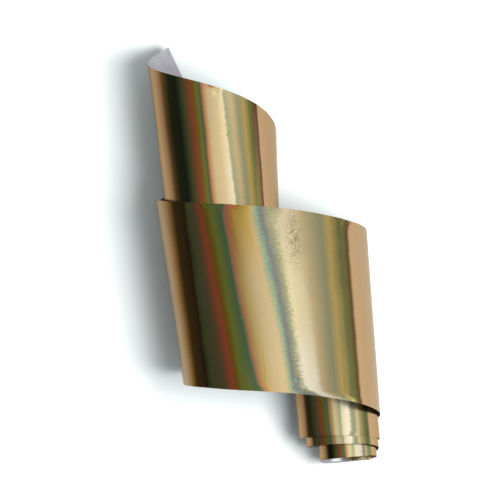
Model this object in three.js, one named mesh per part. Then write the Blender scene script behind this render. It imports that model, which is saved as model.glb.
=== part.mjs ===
import * as THREE from "three";

// A short roll of self-adhesive sign vinyl that lies on its side, part unwound. One laminated
// strip is wound on itself: a gold film outside, its adhesive, and a release liner inside.
// Seen along +Y the strip starts at its free outer end, makes the outer coil, springs up over
// both coils as one wide arch, and ends in the tight inner coil. Each turn climbs along -Y, so
// the turns have slid out of one another like a telescope. Millimetres, +Z up. The flat
// stretch under the outer coil lies on z = 0 with its bend lines along Y.

const STRIP_WIDTH = 305; // 12 inches

// The laminate, outside of the roll first.
const FILM_THICKNESS = 0.1;
const ADHESIVE_THICKNESS = 0.03;
const LINER_THICKNESS = 0.16;
const LAYER_GAP = 0.05; // keeps touching layers apart in 32-bit numbers

// The winding, free end first. "turned" is how far the strip's direction has turned since it
// lay flat under the outer coil, "radius" is its bend radius there, and "helix" is how steeply
// it climbs along the roll. Values between two rows run evenly from one to the next.
const WINDING = [
  { turned: 0, radius: 103, helix: 20.5 }, // free end, inside the outer coil
  { turned: 40, radius: 150, helix: 20.5 },
  { turned: 90, radius: 88, helix: 24.5 },
  { turned: 180, radius: 85, helix: 20.5 }, // top of the outer coil
  { turned: 270, radius: 158, helix: 16.5 },
  { turned: 315, radius: 56, helix: 22 },
  { turned: 360, radius: 58, helix: 18.5 }, // flat on the table under the outer coil
  { turned: 405, radius: 87, helix: 9.5 },
  { turned: 450, radius: 165, helix: 15 },
  { turned: 540, radius: 139, helix: 9.5 }, // crown of the arch
  { turned: 585, radius: 250, helix: 7 },
  { turned: 630, radius: 115, helix: 9.5 },
  { turned: 675, radius: 72, helix: 5.5 },
  { turned: 720, radius: 67, helix: 6.5 }, // on the table under the inner coil
  { turned: 900, radius: 69, helix: 3.5 },
  { turned: 1080, radius: 60, helix: 2 },
  { turned: 1260, radius: 60, helix: 4 },
  { turned: 1440, radius: 50, helix: 3.5 },
  { turned: 1620, radius: 50, helix: 0 },
  { turned: 1710, radius: 42, helix: 0 },
  { turned: 1755, radius: 25, helix: 0 }, // the coreless end curls up small
  { turned: 1890, radius: 21, helix: 0 },
  { turned: 2439, radius: 17, helix: 0 }, // inner end
];

const FACET_TURN = 9; // degrees between neighbouring bend lines
const FIRST_FACET = -9; // direction of the first facet at the free end
const CUT_FACETS = 6; // facets that the straight cut across the free end runs through
const FLAT_FACET = 360; // direction of the facet that lies on the table
const FLAT_LENGTH = 48; // extra length of that facet across its bend lines

const film = { outer: 0, inner: FILM_THICKNESS };
const adhesive = layerBehind(film, ADHESIVE_THICKNESS);
const liner = layerBehind(adhesive, LINER_THICKNESS);

function layerBehind(layer, thickness) {
  const outer = layer.inner + LAYER_GAP;
  return { outer, inner: outer + thickness };
}

// Bend radius and helix angle where the strip has turned by this much.
function windingAt(turned) {
  const last = WINDING.length - 1;
  const next = WINDING.findIndex((row) => row.turned >= turned);
  if (next === 0) return WINDING[0];
  if (next < 0) return WINDING[last];
  const from = WINDING[next - 1];
  const to = WINDING[next];
  const share = (turned - from.turned) / (to.turned - from.turned);
  const curvature = THREE.MathUtils.lerp(1 / from.radius, 1 / to.radius, share);
  return { radius: 1 / curvature, helix: THREE.MathUtils.lerp(from.helix, to.helix, share) };
}

// Folds the flat strip along its bend lines, which keeps its true width and length. Returns
// one station per bend line: where its two ends are, and the way through the laminate.
function foldStrip() {
  const fold = THREE.MathUtils.degToRad(FACET_TURN);
  const lastTurn = WINDING[WINDING.length - 1].turned;
  const endHelix = THREE.MathUtils.degToRad(WINDING[0].helix);
  const cutRun = STRIP_WIDTH * Math.tan(endHelix); // centre-line length that the cut runs over
  const first = THREE.MathUtils.degToRad(FIRST_FACET);

  const bendLine = new THREE.Vector3(0, 1, 0);
  const travel = new THREE.Vector3(-Math.cos(first), 0, Math.sin(first));
  const along = travel.clone().multiplyScalar(Math.cos(endHelix));
  along.addScaledVector(bendLine, -Math.sin(endHelix));
  const across = bendLine.clone().multiplyScalar(Math.cos(endHelix));
  across.addScaledVector(travel, Math.sin(endHelix));

  const point = new THREE.Vector3();
  const stations = [];
  let arc = -cutRun / 2;
  let facet = 0;
  let flat = null;
  addStation(endHelix, 0);
  for (let turned = FIRST_FACET; turned <= lastTurn; turned += FACET_TURN) {
    const here = windingAt(turned);
    const helix = THREE.MathUtils.degToRad(here.helix);
    let run = (here.radius * fold) / Math.cos(helix);
    if (facet < CUT_FACETS) run = cutRun / CUT_FACETS;
    if (turned === FLAT_FACET) run += FLAT_LENGTH / Math.cos(helix);
    point.addScaledVector(along, run);
    arc += run;
    facet += 1;
    const isLast = turned + FACET_TURN > lastTurn;
    const nextHelix = THREE.MathUtils.degToRad(windingAt(turned + FACET_TURN / 2).helix);
    addStation(nextHelix, isLast ? 0 : fold);
    if (turned === FLAT_FACET) flat = { station: stations.length - 1, run };
  }
  return { stations, flat, length: arc };

  function addStation(helix, turn) {
    const line = across.clone().multiplyScalar(Math.cos(helix));
    line.addScaledVector(along, -Math.sin(helix));
    const outward = along.clone().cross(across);
    outward.applyAxisAngle(line, turn / 2);
    outward.multiplyScalar(1 / Math.cos(turn / 2));
    const lowest = -STRIP_WIDTH / 2;
    const cutReach = helix > 0 ? arc / Math.tan(helix) : Infinity;
    const highest = Math.min(STRIP_WIDTH / 2, cutReach);
    const near = point.clone().addScaledVector(line, lowest / Math.cos(helix));
    const far = point.clone().addScaledVector(line, highest / Math.cos(helix));
    stations.push({ near, far, outward });
    along.applyAxisAngle(line, turn);
    across.applyAxisAngle(line, turn);
  }
}

// Turns the folded strip so that its flat facet lies on z = 0 with its first bend line along
// Y, then centres it over the origin.
function layOnTable({ stations, flat }) {
  const start = stations[flat.station - 1];
  const end = stations[flat.station];
  const y = start.far.clone().sub(start.near).normalize();
  const z = end.near.clone().sub(start.near).cross(y).normalize().negate();
  const x = y.clone().cross(z);
  const turn = new THREE.Matrix4().makeBasis(x, y, z).transpose();
  const box = new THREE.Box3();
  for (const station of stations) {
    station.near.applyMatrix4(turn);
    station.far.applyMatrix4(turn);
    station.outward.applyMatrix4(turn);
    box.expandByPoint(station.near);
    box.expandByPoint(station.far);
  }
  const shift = box.getCenter(new THREE.Vector3()).negate();
  shift.z = -start.near.z;
  for (const station of stations) {
    station.near.add(shift);
    station.far.add(shift);
  }
}

// One layer of the laminate as a closed solid between two depths behind the outer face.
function layerGeometry(stations, layer) {
  const corners = [];
  for (const { near, far, outward } of stations) {
    for (const depth of [layer.outer, layer.inner]) {
      corners.push(near.clone().addScaledVector(outward, -depth));
      corners.push(far.clone().addScaledVector(outward, -depth));
    }
  }
  const [OUTER_NEAR, OUTER_FAR, INNER_NEAR, INNER_FAR] = [0, 1, 2, 3];
  const ring = [OUTER_NEAR, INNER_NEAR, INNER_FAR, OUTER_FAR];
  const index = [];
  for (let i = 0; i + 1 < stations.length; i += 1) {
    ring.forEach((corner, k) => {
      const beside = ring[(k + 1) % ring.length];
      addQuad(4 * i + corner, 4 * i + beside, 4 * (i + 1) + beside, 4 * (i + 1) + corner);
    });
  }
  const last = 4 * (stations.length - 1);
  addQuad(...ring.map((corner) => last + corner));
  addQuad(...[...ring].reverse());

  const geometry = new THREE.BufferGeometry();
  geometry.setAttribute("position", new THREE.Float32BufferAttribute(corners.flatMap((c) => c.toArray()), 3));
  geometry.setIndex(index);
  return geometry;

  function addQuad(a, b, c, d) {
    addTriangle(a, b, c);
    addTriangle(a, c, d);
  }

  // The first bend line ends where it starts, at the corner of the cut, so it adds no face.
  function addTriangle(a, b, c) {
    const same = (p, q) => corners[p].distanceTo(corners[q]) < 1e-6;
    if (same(a, b) || same(b, c) || same(c, a)) return;
    index.push(a, b, c);
  }
}

const strip = foldStrip();
layOnTable(strip);

const roll = new THREE.Group();

function addLayer(name, layer, material) {
  const mesh = new THREE.Mesh(layerGeometry(strip.stations, layer), new THREE.MeshStandardMaterial(material));
  mesh.name = name;
  roll.add(mesh);
}

addLayer("face_film", film, { color: 0xc8a468, roughness: 0.2, metalness: 1 });
addLayer("adhesive_layer", adhesive, { color: 0xe6e4dc, roughness: 0.3, metalness: 0 });
addLayer("release_liner", liner, { color: 0xb0afb5, roughness: 0.55, metalness: 0 });

export default roll;
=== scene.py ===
import math

import bmesh
import bpy
import numpy as np
from mathutils import Matrix, Quaternion, Vector


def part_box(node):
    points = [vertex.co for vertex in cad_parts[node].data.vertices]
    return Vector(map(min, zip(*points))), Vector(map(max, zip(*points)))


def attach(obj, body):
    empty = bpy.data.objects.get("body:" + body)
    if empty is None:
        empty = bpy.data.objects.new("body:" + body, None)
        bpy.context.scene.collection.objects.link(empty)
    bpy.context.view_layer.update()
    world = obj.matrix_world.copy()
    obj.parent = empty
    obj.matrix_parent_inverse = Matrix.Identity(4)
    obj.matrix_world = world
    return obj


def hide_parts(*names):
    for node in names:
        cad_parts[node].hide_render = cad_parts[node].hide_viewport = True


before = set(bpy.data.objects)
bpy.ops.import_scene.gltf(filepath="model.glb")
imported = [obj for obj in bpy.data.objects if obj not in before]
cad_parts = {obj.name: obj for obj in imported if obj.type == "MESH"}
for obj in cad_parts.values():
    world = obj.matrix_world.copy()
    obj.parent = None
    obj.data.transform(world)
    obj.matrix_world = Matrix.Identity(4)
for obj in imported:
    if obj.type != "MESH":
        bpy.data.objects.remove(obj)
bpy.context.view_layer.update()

# A part-unwound roll of gold holographic sign vinyl. Each of its three layers is one closed
# skin, folded along the same bend lines as its CAD node but in much smaller steps, then given
# the small waves, dents and creases of real film. Lengths are in metres, angles in degrees.

STRIP_WIDTH = 0.305
FLAT_FACET = 360
FLAT_LENGTH = 0.048
FACET_TURN = 9
FIRST_FACET = -9
CUT_FACETS = 6
MOST_STOPS = 32  # a colour ramp holds no more
FINEST_RUN = 0.0024  # longest step between two bend lines
COLUMNS = 28  # quads across the strip
FILM = (0.0, 0.0001)  # depths behind the outer face
ADHESIVE = (0.00015, 0.00018)
LINER = (0.00023, 0.00039)
WAVES = 14  # long shallow ones over the whole strip
WAVE_HEIGHT = 0.00007
EDGE_WAVES = 6
EDGE_WAVE_HEIGHT = 0.00006
EDGE_WAVE_REACH = 0.012  # how far in from the edges they fade
EDGE_CROWDING = 0.018  # columns stand a little closer together at the edges
CALM_TURN = 40  # the relief fades out this near the facet on the table
SHARP_ANGLE = 40

# The winding, as in the CAD model: turned, bend radius in mm, helix angle. The rows up to 1620
# are a rounded least-squares fit to the roll's outline, and the later ones were set one by one.
WINDING = [
    (0, 103, 20.5),
    (40, 150, 20.5),
    (90, 88, 24.5),
    (180, 85, 20.5),
    (270, 158, 16.5),
    (315, 56, 22),
    (360, 58, 18.5),
    (405, 87, 9.5),
    (450, 165, 15),
    (540, 139, 9.5),
    (585, 250, 7),
    (630, 115, 9.5),
    (675, 72, 5.5),
    (720, 67, 6.5),
    (900, 69, 3.5),
    (1080, 60, 2),
    (1260, 60, 4),
    (1440, 50, 3.5),
    (1620, 50, 0),
    (1710, 42, 0),
    (1755, 25, 0),
    (1890, 21, 0),
    (2439, 17, 0),
]
TURNED = [row[0] for row in WINDING]


# The film's colours, kept to a coarse step: its gold, and the painted reflections, painted
# highlight and painted diffraction colours laid over it.
COLOURS = {
    "ash": "a89888", "tan": "a88868", "clay": "886848", "bark": "503820", "soot": "281c10",
    "umber": "403820", "moss": "303828", "olive": "686840", "rust": "b86040", "coral": "d06040",
    "amber": "a07028", "lime": "989840", "leaf": "808848", "teal": "608060", "sage": "a8a880",
    "mint": "98b090", "slate": "808080", "peach": "d89868", "sand": "d8c090", "gold": "d8b870",
    "cream": "f0e0b0", "pale": "f8f0d8",
}
# Where they lie by the way the film's face turns, from -90 on the left side over 0 at the top
# to +90 on the right side, and on round the underside. The bands are painted reflections on the
# gold: the tan sides mirror the floor, the dark bands near -50 the dim room on the left, the
# cream and pale bands near +15 are a painted highlight of the lamp, and the rainbow bands
# between are painted diffraction colours of the lamp.
OUTER_BANDS = [
    (-90, "ash"), (-70, "tan"), (-58, "clay"), (-51, "bark"), (-44, "umber"), (-33, "moss"),
    (-26, "olive"), (-18, "rust"), (-14, "amber"), (-10, "leaf"), (-7, "olive"), (-4, "peach"),
    (0, "sand"), (9, "sand"), (16, "cream"), (18, "sage"), (25, "sand"), (31, "sage"),
    (37, "gold"), (43, "leaf"), (46, "clay"), (51, "bark"), (52, "tan"), (62, "tan"), (90, "ash"),
]
ARCH_BANDS = [
    (-90, "ash"), (-76, "ash"), (-66, "clay"), (-60, "bark"), (-57, "soot"), (-47, "soot"),
    (-42, "olive"), (-36, "clay"), (-31, "coral"), (-27, "amber"), (-23, "lime"), (-17, "teal"),
    (-14, "peach"), (-10, "gold"), (-4, "sand"), (4, "sand"), (8, "mint"), (11, "slate"),
    (15, "sage"), (18, "cream"), (25, "cream"), (30, "sand"), (38, "sage"), (42, "gold"),
    (47, "olive"), (52, "bark"), (54, "tan"), (60, "tan"), (76, "ash"), (90, "ash"),
]
INNER_BANDS = [
    (-90, "ash"), (-70, "tan"), (-58, "clay"), (-50, "soot"), (-44, "umber"), (-36, "olive"),
    (-31, "clay"), (-27, "rust"), (-23, "amber"), (-19, "leaf"), (-15, "teal"), (-12, "peach"),
    (-9, "gold"), (-6, "cream"), (-1, "sand"), (2, "mint"), (5, "cream"), (14, "pale"),
    (18, "sage"), (22, "sage"), (27, "cream"), (31, "gold"), (35, "sage"), (40, "leaf"),
    (46, "olive"), (48, "tan"), (56, "tan"), (74, "tan"), (90, "ash"),
]
UNDER_BANDS = [
    (90, "ash"), (118, "tan"), (124, "olive"), (134, "sage"), (146, "gold"), (156, "sand"),
    (166, "slate"), (172, "mint"), (182, "peach"), (192, "coral"), (200, "teal"),
    (212, "amber"), (220, "rust"), (232, "moss"), (240, "soot"), (250, "clay"), (270, "ash"),
]
# How far the painted reflection bands lie from those places, in degrees, at the near and the
# far edge.
BAND_SHIFTS = [
    (90, 0, 0), (130, -3, 1), (175, -4, 1.2), (189, -6, 2), (198, -10.5, 3.5), (216, -7, 2.2),
    (233, -7, 2.2), (270, 0, 0), (450, 0, 0), (480, 1, -1), (498, 0.5, -0.5), (507, -4.5, 4.5),
    (521, -4, 4), (526, -7, 7), (548, -9, 7.5), (557, -4.5, 3.5), (567, -6, 5), (576, -1.5, 1.5),
    (595, -1, 1), (630, 0, 0), (1170, 0, 0), (1200, 1, 1), (1213, 5, 5), (1226, 7, 7),
    (1244, 4, 4), (1262, 3, 3), (1286, 1, 1), (1308, -2, -2), (1340, 0, 0), (1560, 0, 0),
    (1584, -12, -12), (1601, -8, -8), (1615, -6, -6), (1632, -8, -8), (1650, -12, -12),
    (1660, -8, -8), (1671, -4, -4), (1710, 0, 0),
]
# Corrections to the edges, where the folded strip misses the real roll's outline: turned, and
# how far the near and the far edge are moved towards +Y there, in mm. They make the strip up
# to 13 mm narrower in places, which the real one is not.
EDGE_SLIDES = [
    (380, 0, 0), (400, 0, -6), (425, 0, -13), (442, 0.5, -9), (455, 2, -3), (470, 5, 0),
    (490, 7, 1), (520, 7.2, 2), (560, 8.5, 2), (590, 7.4, 0), (610, 5.2, 0), (640, 4.6, 0),
    (700, 2, 0), (800, 2.5, 0), (830, 3, 0), (890, 6, 0), (950, 3.5, 0), (990, 2.5, 0),
    (1080, 4, 0), (1170, 6.5, 0), (1230, 8.5, 0), (1290, 9.5, 0), (1350, 8, 0), (1400, 0, 0),
    (1440, -2, 0), (1500, 0, 0), (1530, 3.8, 0), (1600, 4.8, 0), (1690, 5.2, 0), (1740, 2, 0),
    (1800, 0, 0),
]
END_LIFT = 0.0024  # the free end rests on the turn under it
END_LIFT_TURN = 70
# Small knocks: turned, across in m, radius in turned and in m, and height in m.
KNOCKS = [
    (188, 0.298, 2.5, 0.005, -0.0009),
    (192, 0.291, 2.0, 0.004, 0.0005),
    (556, 0.014, 1.6, 0.004, -0.0006),
    (559, 0.021, 1.8, 0.005, 0.0004),
    (527, 0.305, 7.0, 0.010, -0.0012),
    (505, 0.305, 5.0, 0.007, 0.0006),
    (533, 0.000, 4.0, 0.007, 0.0007),
    (570, 0.000, 8.0, 0.008, -0.0009),
]
# Where the film is ruffled by handling, which shows only as jumbled painted reflection bands:
# turned, across in m, radius in turned and in m.
RUFFLES = [
    (518, 0.303, 12, 0.010), (188, 0.300, 5, 0.005), (556, 0.016, 3, 0.006),
    (536, 0.001, 4, 0.004), (590, 0.303, 8, 0.007), (582, 0.001, 7, 0.003),
]
# Where the bands bend beside an edge: turned, across in m, radius in turned and in m, and by
# how many degrees.
EDGE_BENDS = [
    (529, 0.305, 8, 0.009, -8), (508, 0.305, 6, 0.006, 4), (566, 0.000, 9, 0.007, -9),
    (533, 0.000, 4, 0.006, -5), (580, 0.000, 9, 0.0045, -14), (592, 0.305, 7, 0.010, -3),
    (186, 0.296, 2.2, 0.004, 9), (191, 0.291, 2.0, 0.003, -9), (186, 0.304, 6, 0.0022, -20),
    (557, 0.016, 1.8, 0.004, -8), (524, 0.300, 3, 0.004, 5), (555, 0.305, 7, 0.012, -4),
    (876, 0.000, 10, 0.006, -5), (916, 0.000, 10, 0.006, 4),
]


def curvature(turned):
    return float(np.interp(turned, TURNED, [1000 / row[1] for row in WINDING]))


def helix(turned):
    return math.radians(float(np.interp(turned, TURNED, [row[2] for row in WINDING])))


def facet_steps():
    """(direction, turn to the next, share of its CAD facet) of each narrow facet. Each CAD
    facet is split into an odd number of equal ones, so the one flat on the table stays flat."""
    steps = []
    for facet in range(FIRST_FACET, TURNED[-1] + 1, FACET_TURN):
        run = math.radians(FACET_TURN) / curvature(facet)
        parts = max(3, 2 * math.ceil(run / FINEST_RUN / 2) - 1)
        for k in range(parts):
            turned = facet + FACET_TURN * ((k + 0.5) / parts - 0.5)
            steps.append((facet, turned, FACET_TURN / parts))
    return steps


def fold_strip():
    """One station per bend line: its two ends, the way out through the laminate, how far the
    strip has turned there and the length from the free end."""
    steps = facet_steps()
    end_helix = helix(0)
    cut_run = STRIP_WIDTH * math.tan(end_helix)
    first = math.radians(steps[0][1])
    line = Vector((0, 1, 0))
    travel = Vector((-math.cos(first), 0, math.sin(first)))
    along = travel * math.cos(end_helix) - line * math.sin(end_helix)
    across = line * math.cos(end_helix) + travel * math.sin(end_helix)
    point = Vector((0, 0, 0))
    arc = -cut_run / 2
    cut_steps = sum(1 for s in steps if s[0] < FIRST_FACET + CUT_FACETS * FACET_TURN)
    stations = []
    flat = None

    def add(angle, turn, turned):
        nonlocal along, across
        line = across * math.cos(angle) - along * math.sin(angle)
        half = Quaternion(line, math.radians(turn) / 2)
        outward = half @ along.cross(across)
        reach = STRIP_WIDTH / 2
        high = min(reach, arc / math.tan(angle)) if angle > 0 else reach
        near = point - line * (reach / math.cos(angle))
        far = point + line * (high / math.cos(angle))
        stations.append([near, far, outward / math.cos(math.radians(turn) / 2), turned, arc])
        whole = Quaternion(line, math.radians(turn))
        along = whole @ along
        across = whole @ across

    add(end_helix, 0, steps[0][1] - steps[0][2] / 2)
    for i, (facet, turned, width) in enumerate(steps):
        angle = helix(turned)
        run = math.radians(width) / curvature(facet) / math.cos(angle)
        if i < cut_steps:
            run = cut_run / cut_steps
        is_flat = abs(turned - FLAT_FACET) < 1e-6
        if is_flat:
            run += FLAT_LENGTH / math.cos(angle)
        point = point + along * run
        arc += run
        last = i + 1 == len(steps)
        turn = 0 if last else (width + steps[i + 1][2]) / 2
        add(helix(turned + width / 2), turn, turned + width / 2)
        if is_flat:
            flat = len(stations) - 1
    return stations, flat


def lay_on_table(stations, flat, box):
    """Puts the flat facet on z = 0 with its first bend line along Y, and the strip in the
    middle of the CAD box."""
    near0, far0 = stations[flat - 1][:2]
    y = (far0 - near0).normalized()
    z = -(stations[flat][0] - near0).cross(y).normalized()
    x = y.cross(z)
    turn = Matrix((x, y, z))
    for s in stations:
        s[0], s[1], s[2] = turn @ s[0], turn @ s[1], turn @ s[2]
    ends = np.array([p for s in stations for p in s[:2]])
    middle = (ends.min(0) + ends.max(0)) / 2
    shift = Vector((
        (box[0][0] + box[1][0]) / 2 - middle[0],
        (box[0][1] + box[1][1]) / 2 - middle[1],
        -stations[flat - 1][0].z))
    for s in stations:
        s[0], s[1] = s[0] + shift, s[1] + shift


stations, flat = fold_strip()
lay_on_table(stations, flat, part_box("face_film"))
near = np.array([s[0] for s in stations])
far = np.array([s[1] for s in stations])
outward = np.array([s[2] for s in stations])
turned = np.array([s[3] for s in stations])
arc = np.array([s[4] for s in stations])

slide_turned = [row[0] for row in EDGE_SLIDES]
near_slide = np.interp(turned, slide_turned, [row[1] / 1000 for row in EDGE_SLIDES])
far_slide = np.interp(turned, slide_turned, [row[2] / 1000 for row in EDGE_SLIDES])
ruling = (far - near) / np.maximum(np.linalg.norm(far - near, axis=1), 1e-9)[:, None]
near = near + ruling * near_slide[:, None]
far = far + ruling * far_slide[:, None]
rise = np.clip(1 - turned / END_LIFT_TURN, 0, 1)
rise = END_LIFT * rise * rise * (3 - 2 * rise)
near[:, 2] += rise
far[:, 2] += rise

share = np.linspace(0, 1, COLUMNS + 1)
share = share - EDGE_CROWDING * np.sin(2 * math.pi * share)
outer = near[:, None] * (1 - share[None, :, None]) + far[:, None] * share[None, :, None]
TURN_GRID = np.repeat(turned[:, None], COLUMNS + 1, 1)
ACROSS = np.repeat((share * STRIP_WIDTH)[None], len(stations), 0)
# distance from the free end, measured along the strip's own edges
slope = np.tan(np.radians(np.interp(turned, TURNED, [row[2] for row in WINDING])))
ALONG = arc[:, None] - (ACROSS - STRIP_WIDTH / 2) * slope[:, None]


def bump(x, centre, width):
    return np.exp(-(((x - centre) / width) ** 2))


def relief():
    """How far the laminate stands out from its rolled shape."""
    height = np.zeros_like(TURN_GRID)
    rng = np.random.default_rng(7)
    # long shallow waves
    for _ in range(WAVES):
        length = rng.uniform(0.07, 0.22)
        lean = rng.uniform(-0.5, 0.5)
        phase = rng.uniform(0, 2 * math.pi)
        height += WAVE_HEIGHT * np.sin(2 * math.pi * (ALONG + lean * ACROSS) / length + phase)
    # the two long edges are slightly wavy
    edge = np.minimum(ACROSS, STRIP_WIDTH - ACROSS)
    side = np.where(ACROSS < STRIP_WIDTH / 2, 1, -1)
    reach = EDGE_WAVE_HEIGHT * np.exp(-edge / EDGE_WAVE_REACH)
    for _ in range(EDGE_WAVES):
        length = rng.uniform(0.018, 0.05)
        phase = rng.uniform(0, 2 * math.pi)
        height += reach * np.sin(2 * math.pi * ALONG / length + phase * side)
    return height


height = relief()
for at, beside, turn_size, size, tall in KNOCKS:
    height += tall * bump(TURN_GRID, at, turn_size) * bump(ACROSS, beside, size)
height *= np.clip(np.abs(TURN_GRID - FLAT_FACET) / CALM_TURN, 0, 1)
outer = outer + outward[:, None, :] * height[..., None]

# Where the painted reflection bands lie, as the direction that each point of the film
# seems to face.
band_turned = [row[0] for row in BAND_SHIFTS]
near_shift = np.interp(TURN_GRID, band_turned, [row[1] for row in BAND_SHIFTS])
far_shift = np.interp(TURN_GRID, band_turned, [row[2] for row in BAND_SHIFTS])
BANDED = TURN_GRID + near_shift + (far_shift - near_shift) * ACROSS / STRIP_WIDTH
for at, beside, turn_size, size, shift in EDGE_BENDS:
    BANDED += shift * bump(TURN_GRID, at, turn_size) * bump(ACROSS, beside, size)
# crinkles and ruffles jumble the painted reflection bands; crinkles also get painted dark
# reflections in thin creases
CRINKLED = bump(TURN_GRID, 562, 3.6) * bump(ACROSS, 0.258, 0.042)
RUFFLED = sum(
    bump(TURN_GRID, at, turn_size) * bump(ACROSS, beside, size)
    for at, beside, turn_size, size in RUFFLES)


def skin(name, depths):
    """A closed thin shell between two depths behind the outer face."""
    n, m = outer.shape[:2]
    top = (outer - outward[:, None, :] * depths[0]).reshape(-1, 3)
    under = (outer - outward[:, None, :] * depths[1]).reshape(-1, 3)
    points = np.concatenate([top, under])
    grid = np.arange(n * m).reshape(n, m)
    other = grid + n * m
    faces = []

    def quads(a, b, c, d):
        faces.append(np.stack([a.ravel(), b.ravel(), c.ravel(), d.ravel()], 1))

    quads(grid[:-1, :-1], grid[1:, :-1], grid[1:, 1:], grid[:-1, 1:])
    quads(other[:-1, :-1], other[:-1, 1:], other[1:, 1:], other[1:, :-1])
    quads(grid[:-1, 0], other[:-1, 0], other[1:, 0], grid[1:, 0])
    quads(grid[:-1, -1], grid[1:, -1], other[1:, -1], other[:-1, -1])
    quads(grid[0, :-1], grid[0, 1:], other[0, 1:], other[0, :-1])
    quads(grid[-1, :-1], other[-1, :-1], other[-1, 1:], grid[-1, 1:])
    faces = np.concatenate(faces)
    mesh = bpy.data.meshes.new(name)
    mesh.from_pydata(points.tolist(), [], faces.tolist())
    for label, values in (
        ("turned", TURN_GRID), ("along", ALONG), ("across", ACROSS),
        ("banded", BANDED), ("crinkled", CRINKLED), ("ruffled", RUFFLED),
    ):
        data = mesh.attributes.new(label, "FLOAT", "POINT").data
        data.foreach_set("value", np.tile(values.ravel(), 2).astype(np.float32))
    # the first bend line is one point, the corner of the cut
    bm = bmesh.new()
    bm.from_mesh(mesh)
    bmesh.ops.dissolve_degenerate(bm, edges=bm.edges, dist=1e-7)
    bmesh.ops.recalc_face_normals(bm, faces=bm.faces)
    bm.to_mesh(mesh)
    bm.free()
    mesh.shade_smooth()
    mesh.set_sharp_from_angle(angle=math.radians(SHARP_ANGLE))
    piece = bpy.data.objects.new(name, mesh)
    bpy.context.scene.collection.objects.link(piece)
    return piece


gold_film = skin("gold_film", FILM)
clear_adhesive = skin("clear_adhesive", ADHESIVE)
liner_paper = skin("liner_paper", LINER)


# ---------------------------------------------------------------------------- materials

def linear(code):
    """A hex colour as the linear RGBA that nodes take."""
    parts = [int(code[i:i + 2], 16) / 255 for i in (0, 2, 4)]
    return tuple(c / 12.92 if c <= 0.04045 else ((c + 0.055) / 1.055) ** 2.4 for c in parts) + (1,)


class Nodes:
    """Short calls for building one material's node tree."""

    def __init__(self, name):
        self.material = bpy.data.materials.new(name)
        self.material.use_nodes = True
        self.tree = self.material.node_tree
        self.shader = self.tree.nodes["Principled BSDF"]

    def put(self, socket, value):
        if isinstance(value, bpy.types.NodeSocket):
            self.tree.links.new(value, socket)
        else:
            socket.default_value = value

    def attribute(self, name):
        node = self.tree.nodes.new("ShaderNodeAttribute")
        node.attribute_name = name
        return node.outputs["Fac"]

    def math(self, operation, *values):
        node = self.tree.nodes.new("ShaderNodeMath")
        node.operation = operation
        for socket, value in zip(node.inputs, values):
            self.put(socket, value)
        return node.outputs[0]

    def add(self, a, b):
        return self.math("ADD", a, b)

    def less(self, a, b):
        return self.math("SUBTRACT", a, b)

    def times(self, a, b):
        return self.math("MULTIPLY", a, b)

    def vector(self, x=0.0, y=0.0, z=0.0):
        node = self.tree.nodes.new("ShaderNodeCombineXYZ")
        for socket, value in zip(node.inputs, (x, y, z)):
            self.put(socket, value)
        return node.outputs[0]

    def noise(self, vector, scale, detail=2.0, rough=0.5):
        node = self.tree.nodes.new("ShaderNodeTexNoise")
        self.put(node.inputs["Vector"], vector)
        self.put(node.inputs["Scale"], scale)
        self.put(node.inputs["Detail"], detail)
        self.put(node.inputs["Roughness"], rough)
        return node.outputs["Fac"]

    def range(self, value, low, high, to_low=0.0, to_high=1.0):
        node = self.tree.nodes.new("ShaderNodeMapRange")
        node.interpolation_type = "SMOOTHSTEP"
        for socket, v in zip(node.inputs, (value, low, high, to_low, to_high)):
            self.put(socket, v)
        return node.outputs[0]

    def ramp(self, value, stops):
        node = self.tree.nodes.new("ShaderNodeValToRGB")
        elements = node.color_ramp.elements
        while len(elements) < len(stops):
            elements.new(0.5)
        for element, (at, colour) in zip(elements, stops):
            element.position = at
            element.color = colour
        self.put(node.inputs[0], value)
        return node.outputs[0]

    def mix(self, factor, a, b, blend="MIX"):
        node = self.tree.nodes.new("ShaderNodeMix")
        node.data_type = "RGBA"
        node.blend_type = blend
        self.put(node.inputs["Factor"], factor)
        self.put(node.inputs["A"], a)
        self.put(node.inputs["B"], b)
        return node.outputs["Result"]

    def bump(self, height, strength, distance, normal=None):
        node = self.tree.nodes.new("ShaderNodeBump")
        self.put(node.inputs["Height"], height)
        self.put(node.inputs["Strength"], strength)
        self.put(node.inputs["Distance"], distance)
        if normal is not None:
            self.put(node.inputs["Normal"], normal)
        return node.outputs[0]


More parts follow.
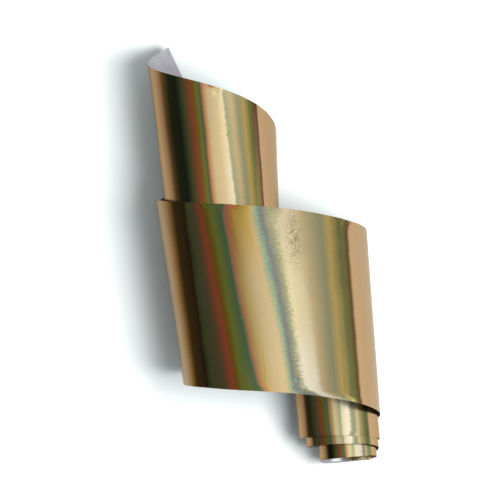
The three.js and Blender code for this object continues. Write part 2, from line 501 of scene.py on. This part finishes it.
def film_material():
    n = Nodes("gold_film")
    along, across = n.attribute("along"), n.attribute("across")
    turned = n.attribute("turned")
    place = n.vector(along, across)
    # the way the film faces: 0 on the left side, 90 at the top, 180 on the right side
    facing = n.math("MODULO", n.less(n.attribute("banded"), 90.0), 360.0)
    on_arch = n.times(n.range(turned, 420, 440), n.range(turned, 646, 636))
    on_inner = n.range(turned, 690, 720)

    def shaken(noise, degrees):
        """A shift of the bands by noise, of up to about half that many degrees either way."""
        return n.times(n.less(noise, 0.5), degrees)

    # the painted highlight has ragged edges, and the painted reflection bands are jumbled where
    # handling has ruffled a few places and where the film is crinkled
    tooth = n.noise(n.vector(n.times(along, 0.3), across), 430, 2, 0.6)
    hair = n.noise(n.vector(n.times(along, 0.6), across), 900, 2, 0.6)
    broad = n.noise(n.vector(n.times(along, 0.5), across), 24, 2, 0.5)
    ragged = n.times(n.range(facing, 86, 102), n.range(facing, 124, 112))
    ruffle_place = n.vector(n.times(along, 1.6), n.times(n.add(across, along), 0.5))
    ruffle = n.noise(ruffle_place, 170, 3, 0.6)
    crinkle = n.noise(place, 190, 3, 0.7)
    shake = shaken(tooth, n.add(n.times(ragged, 5.0), 1.2))
    shake = n.add(shake, shaken(hair, 1.6))
    shake = n.add(shake, shaken(broad, 1.7))
    shake = n.add(shake, shaken(ruffle, n.times(n.attribute("ruffled"), 36.0)))
    shake = n.add(shake, shaken(crinkle, n.times(n.attribute("crinkled"), 26.0)))
    facing = n.add(facing, shake)

    def bands(rows):
        """One row of bands, on two colour ramps where it has too many stops for one."""
        if len(rows) > MOST_STOPS:
            seam = len(rows) // 2
            past = n.math("GREATER_THAN", facing, rows[seam][0] + 90.0)
            return n.mix(past, bands(rows[:seam + 1]), bands(rows[seam:]))
        low, high = rows[0][0], rows[-1][0]
        stops = [((a - low) / (high - low), linear(COLOURS[c])) for a, c in rows]
        share = n.math("DIVIDE", n.less(facing, low + 90.0), high - low)
        return n.ramp(share, stops)

    def tint(colour, factor, filter_colour):
        return n.mix(factor, colour, n.mix(1.0, colour, filter_colour, "MULTIPLY"))

    def window(low, rising, falling, high):
        return n.times(n.range(facing, low, rising), n.range(facing, high, falling))

    outer, inner, arch, under = (
        bands(rows) for rows in (OUTER_BANDS, INNER_BANDS, ARCH_BANDS, UNDER_BANDS))
    # the outer coil's painted highlight is paler towards its near edge
    bright = n.times(n.range(across, 0.25, 0.12), window(98, 101, 106, 108))
    outer = tint(outer, bright, (1.05, 1.1, 1.25, 1))
    # the arch's painted reflection colours drift from its near edge to its far edge; the painted
    # highlight dims towards the far edge and is paler towards the near edge
    far_side = n.range(across, 0.16, 0.3)
    near_side = n.range(across, 0.15, 0.01)
    for side, reach, drift in (
        (far_side, (76, 82, 90, 97), (1, 0.84, 0.34, 1)),
        (far_side, (74, 77, 80, 84), (1, 0.62, 0.9, 1)),
        (far_side, (104, 107, 115, 119), (0.82, 0.8, 0.86, 1)),
        (near_side, (104, 107, 115, 119), (1.1, 1.16, 1.5, 1)),
    ):
        arch = tint(arch, n.times(side, window(*reach)), drift)
    # painted dark reflections along thin curly creases beside the painted highlight, near the far
    # edge
    curls = n.noise(n.vector(along, n.times(across, 0.6)), 170, 2, 0.6)
    curl = n.range(n.math("ABSOLUTE", n.less(curls, 0.5)), 0.075, 0.02)
    curl = n.times(curl, n.attribute("crinkled"))
    arch = n.mix(n.times(curl, 0.7), arch, linear("7a744c"))
    top = n.mix(on_arch, n.mix(on_inner, outer, inner), arch)
    colour = n.mix(n.math("GREATER_THAN", facing, 180.0), top, under)
    # deep in the mouth the painted reflection bands run together into one flat tan
    deep = n.times(n.range(turned, 1722, 1745), 0.72)
    colour = n.mix(deep, colour, linear("ac9468"))
    n.put(n.shader.inputs["Base Color"], colour)
    n.put(n.shader.inputs["Metallic"], 1.0)
    fine = n.noise(place, 900, 3, 0.6)
    n.put(n.shader.inputs["Roughness"], n.range(fine, 0.2, 0.8, 0.14, 0.28))
    n.put(n.shader.inputs["Specular Tint"], linear("dacbb8"))
    grain = n.noise(n.vector(n.times(along, 0.5), across), 160, 4, 0.6)
    relief = n.bump(grain, 0.12, 0.0006)
    # one hair-thin crease that runs in from the arch's near edge
    line = n.less(turned, n.add(537.0, n.times(across, 12.0)))
    thin = n.times(n.range(line, -0.45, -0.05), n.range(line, 0.45, 0.05))
    crease = n.times(thin, n.range(across, 0.082, 0.05))
    relief = n.bump(crease, 0.5, 0.0004, relief)
    n.put(n.shader.inputs["Normal"], relief)
    return n.material


def adhesive_material():
    n = Nodes("clear_adhesive")
    place = n.vector(n.attribute("along"), n.attribute("across"))
    cloud = n.noise(place, 60, 3, 0.5)
    n.put(n.shader.inputs["Base Color"], n.mix(cloud, linear("d8d4c4"), linear("efece2")))
    n.put(n.shader.inputs["Roughness"], n.range(cloud, 0.2, 0.8, 0.18, 0.4))
    n.put(n.shader.inputs["Normal"], n.bump(cloud, 0.1, 0.0002))
    return n.material


def liner_material():
    n = Nodes("liner_paper")
    turned, across = n.attribute("turned"), n.attribute("across")
    place = n.vector(n.attribute("along"), across)
    fibre = n.noise(place, 1400, 4, 0.6)
    cloud = n.noise(place, 45, 4, 0.55)
    tone = n.mix(n.range(cloud, 0.3, 0.7), linear("8a888e"), linear("949299"))
    colour = n.mix(n.range(fibre, 0.3, 0.7, 0.0, 0.35), tone, linear("807e85"))
    # a painted highlight: the silicone face is painted near-white where the mouth of the inner coil
    # opens to the light
    shine = n.times(n.range(turned, 1448, 1460), n.range(turned, 1482, 1466))
    shine = n.times(shine, n.range(across, 0.03, 0.008))
    shine = n.times(shine, n.range(across, 0.0012, 0.0035))
    colour = n.mix(shine, colour, linear("ececf0"))
    n.put(n.shader.inputs["Base Color"], colour)
    n.put(n.shader.inputs["Metallic"], 0.25)
    n.put(n.shader.inputs["Roughness"], n.range(fibre, 0.3, 0.7, 0.28, 0.46))
    n.put(n.shader.inputs["Normal"], n.bump(fibre, 0.25, 0.0001))
    return n.material


FLOOR_COLOUR = (0.575, 0.615, 0.617, 1)


def floor_material():
    material = bpy.data.materials.new("floor")
    material.use_nodes = True
    shader = material.node_tree.nodes["Principled BSDF"]
    shader.inputs["Base Color"].default_value = FLOOR_COLOUR
    shader.inputs["Roughness"].default_value = 0.9
    shader.inputs["Specular IOR Level"].default_value = 0.1
    return material


gold_film.data.materials.append(film_material())
clear_adhesive.data.materials.append(adhesive_material())
liner_paper.data.materials.append(liner_material())

for piece, node, slot, under in (
    (gold_film, "face_film", "gold_film", "clear_adhesive"),
    (clear_adhesive, "adhesive_layer", "adhesive", "liner_paper"),
    (liner_paper, "release_liner", "liner", "clear_adhesive"),
):
    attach(piece, "root")
    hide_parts(node)

# ------------------------------------------------------------------------ floor, light, camera

FLOOR_HALF = 30.0
FLOOR_CLEARANCE = 0.0002  # keeps the floor apart from the stretch that lies flat on z = 0
corners = [(-1, -1), (1, -1), (1, 1), (-1, 1)]
floor_mesh = bpy.data.meshes.new("floor")
floor_mesh.from_pydata([(FLOOR_HALF * x, FLOOR_HALF * y, 0) for x, y in corners], [], [(0, 1, 2, 3)])
floor = bpy.data.objects.new("floor", floor_mesh)
floor.location.z = -FLOOR_CLEARANCE
bpy.context.scene.collection.objects.link(floor)
floor_mesh.materials.append(floor_material())


def area_light(name, towards, distance, size, power, colour):
    """A square soft light that looks at the roll from the direction towards."""
    data = bpy.data.lights.new(name, "AREA")
    data.shape = "SQUARE"
    data.size = size
    data.energy = power
    data.color = colour
    light = bpy.data.objects.new(name, data)
    way = Vector(towards).normalized()
    light.location = way * distance
    light.rotation_mode = "QUATERNION"
    light.rotation_quaternion = way.to_track_quat("Z", "Y")
    light.visible_camera = False
    light.visible_glossy = False  # the film shows the room instead, as a soft box would look
    bpy.context.scene.collection.objects.link(light)


area_light(
    "key", towards=(0.37, -0.2, 0.9), distance=3.2, size=1.4, power=190, colour=(1, 0.99, 0.98))

# The room that the film mirrors, brighter to the right: x of a direction, and how bright.
ROOM = [(-1, 0.26), (-0.5, 0.42), (0, 0.85), (0.34, 1.05), (0.64, 0.95), (0.87, 0.7), (1, 0.55)]
RED_LOSS = 0.17  # the dim side is a little blue
BLUE_GAIN = 0.01
world = bpy.data.worlds.new("studio")
bpy.context.scene.world = world
world.use_nodes = True
tree = world.node_tree
background = tree.nodes["Background"]
where = tree.nodes.new("ShaderNodeTexCoord")
split = tree.nodes.new("ShaderNodeSeparateXYZ")
tree.links.new(where.outputs["Generated"], split.inputs[0])
sky = tree.nodes.new("ShaderNodeValToRGB")
side = tree.nodes.new("ShaderNodeMapRange")
tree.links.new(split.outputs["X"], side.inputs["Value"])
side.inputs["From Min"].default_value = -1
side.inputs["From Max"].default_value = 1
tree.links.new(side.outputs[0], sky.inputs[0])
while len(sky.color_ramp.elements) < len(ROOM):
    sky.color_ramp.elements.new(0.5)
for element, (x, level) in zip(sky.color_ramp.elements, ROOM):
    element.position = (x + 1) / 2
    cool = max(0, -x)
    element.color = (level * (1 - RED_LOSS * cool), level, level * (1 + BLUE_GAIN * cool), 1)
tree.links.new(sky.outputs[0], background.inputs["Color"])
background.inputs["Strength"].default_value = 1.0

FRAME_WIDTH = 0.8355  # what the picture spans at the roll
DISTANCE = 8.7
SENSOR_WIDTH = 36  # mm
CAMERA_RIGHT = (0.99877, -0.04958, 0)  # the camera looks down, turned by 2.8 degrees
CAMERA_BACK = (-0.0052, -0.1044, 0.9945)  # and tilted by 6 degrees
TARGET = (-0.0234, 0.0117, 0)
camera_data = bpy.data.cameras.new("camera")
camera_data.sensor_width = SENSOR_WIDTH
camera_data.lens = SENSOR_WIDTH * DISTANCE / FRAME_WIDTH
camera_data.clip_end = 100
camera = bpy.data.objects.new("camera", camera_data)
bpy.context.scene.collection.objects.link(camera)
right = Vector(CAMERA_RIGHT).normalized()
back = Vector(CAMERA_BACK).normalized()
up = back.cross(right).normalized()
right = up.cross(back)
pose = Matrix((right, up, back)).transposed().to_4x4()
pose.translation = Vector(TARGET) + back * DISTANCE
camera.matrix_world = pose
bpy.context.scene.camera = camera
bpy.context.scene.view_settings.view_transform = "Standard"
